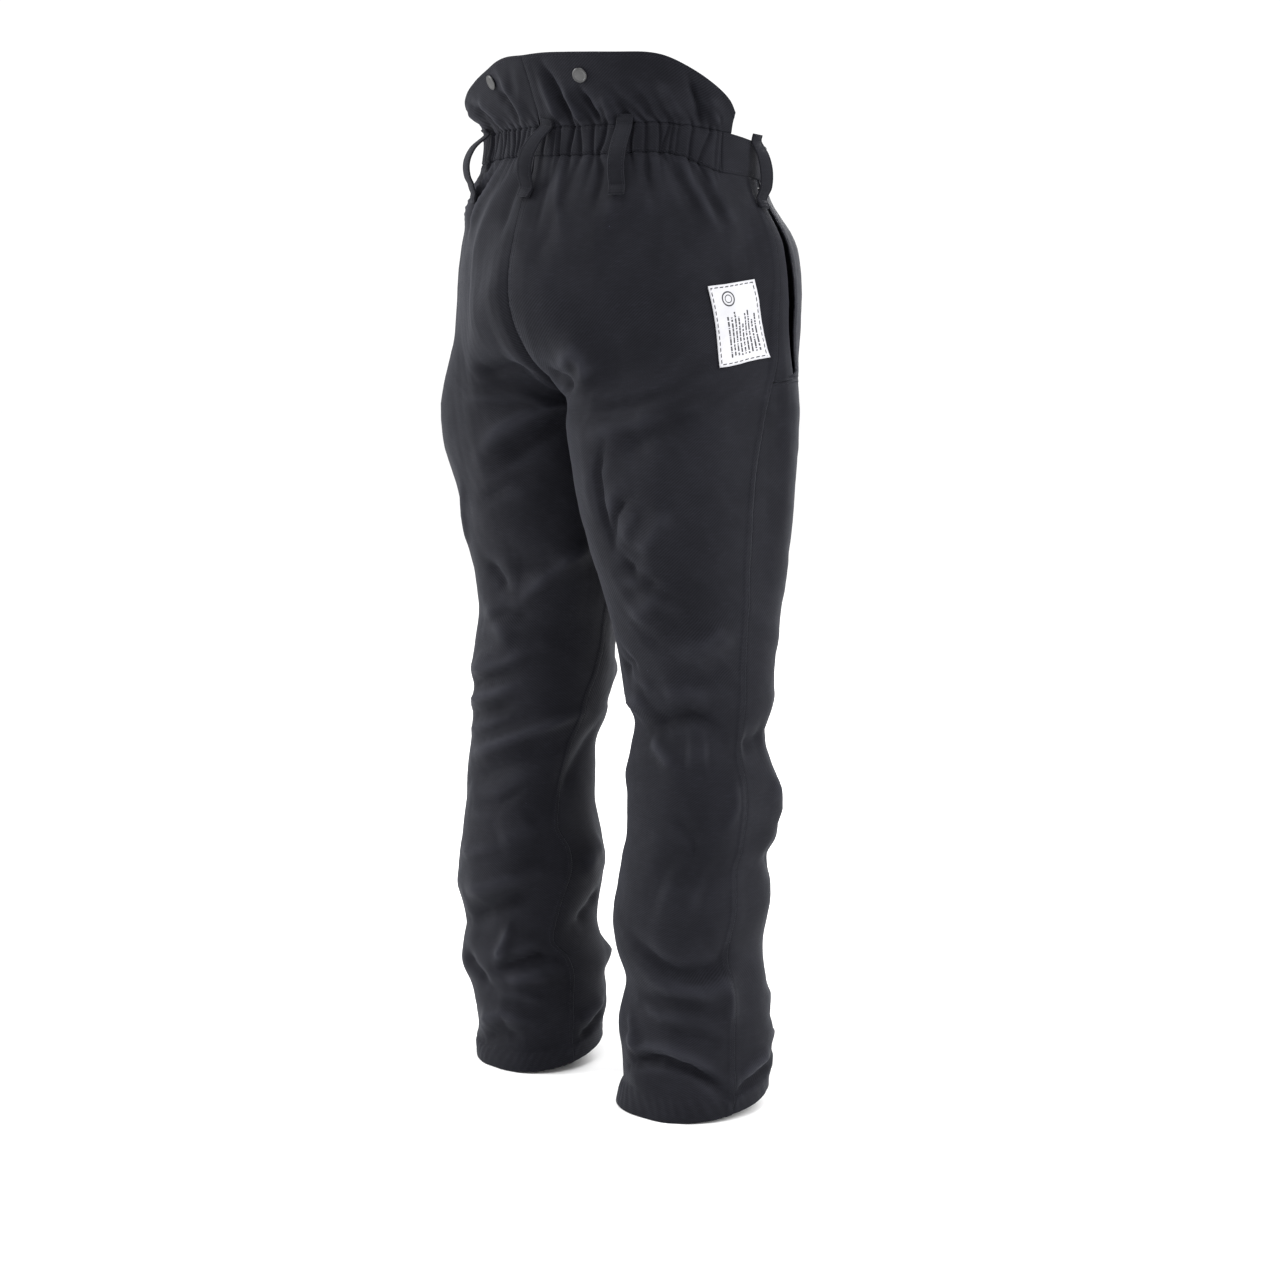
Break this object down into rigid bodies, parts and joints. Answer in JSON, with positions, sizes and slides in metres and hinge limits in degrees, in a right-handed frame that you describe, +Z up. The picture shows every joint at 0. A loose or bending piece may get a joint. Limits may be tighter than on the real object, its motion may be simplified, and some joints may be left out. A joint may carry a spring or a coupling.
{
  "type": "chainsaw protective trousers",
  "caption": "Work trousers with saw-guard padding, a high gathered elastic back, belt loops, side pockets and a zipped fly, standing as worn.",
  "frame": {"origin": "middle of the waist, on the waist line 45 mm below the top of the waistband behind", "axes": "+Z up, -Y towards the wearer's front, +X towards the wearer's left"},
  "size_m": [0.3982, 0.2846, 1.0496],
  "materials": {
    "shell": "dark navy-charcoal twill, matt with a faint satin face",
    "binding": "same twill, folded and double-stitched",
    "padding": "knitted cut-resistant fibre pack, natural off-white",
    "lining": "thin smooth polyester lining",
    "elastic": "ribbed black elastic webbing",
    "snap": "gunmetal-plated brass, soft satin shine",
    "zip": "black moulded tooth row and woven tape",
    "label": "smooth white woven label"
  },
  "bodies": {
    "garment": {"back_panel_left": "shell", "back_panel_right": "shell", "back_leg_left": "shell", "back_leg_right": "shell", "front_panel_left": "shell", "front_panel_right": "shell", "front_leg_left": "shell", "front_leg_right": "shell", "pocket_facing_left": "shell", "pocket_facing_right": "shell", "pocket_bag_left": "lining", "pocket_bag_right": "lining", "saw_guard_left": "padding", "saw_guard_right": "padding", "guard_lining_left": "lining", "guard_lining_right": "lining", "hem_cuff_left": "shell", "hem_cuff_right": "shell", "waist_casing": "shell", "waist_elastic": "elastic", "casing_lining": "lining", "front_waistband_left": "shell", "front_waistband_right": "shell", "front_band_facing_left": "lining", "front_band_facing_right": "lining", "high_back_left": "shell", "high_back_right": "shell", "high_back_facing": "lining", "belt_loop_centre": "binding", "belt_loop_back_left": "binding", "belt_loop_back_right": "binding", "belt_loop_side_left": "binding", "belt_loop_side_right": "binding", "belt_loop_front_left": "binding", "belt_loop_front_right": "binding", "brace_cap_back_left": "snap", "brace_cap_back_right": "snap", "brace_stud_back_left": "snap", "brace_stud_back_right": "snap", "brace_cap_front_left": "snap", "brace_cap_front_right": "snap", "brace_stud_front_left": "snap", "brace_stud_front_right": "snap", "zip_tape_left": "zip", "zip_tape_right": "zip", "zip_teeth_left": "zip", "zip_teeth_right": "zip", "zip_bottom_stop": "snap", "fly_guard": "shell", "waist_snap_stud": "snap", "hip_label": "label", "size_tag": "label"},
    "fly": {"fly_flap": "shell", "waist_tab": "shell", "waist_snap_cap": "snap"},
    "slider": {"zip_slider": "snap"},
    "pull": {"zip_pull": "snap"}
  },
  "joints": [
    {"name": "fly_flap_fold", "type": "hinge", "parent": "garment", "child": "fly", "pos_m": [0.0323, -0.1227, -0.059], "axis": [0, 0.0513, 0.9987], "range_deg": [0, 120]},
    {"name": "zip_run", "type": "slide", "parent": "garment", "child": "slider", "axis": [0, -0.0513, -0.9987], "range_m": [0, 0.105]},
    {"name": "pull_swing", "type": "hinge", "parent": "slider", "child": "pull", "pos_m": [0, -0.11528, -0.02483], "axis": [-1, 0, 0], "range_deg": [0, 8]}
  ]
}
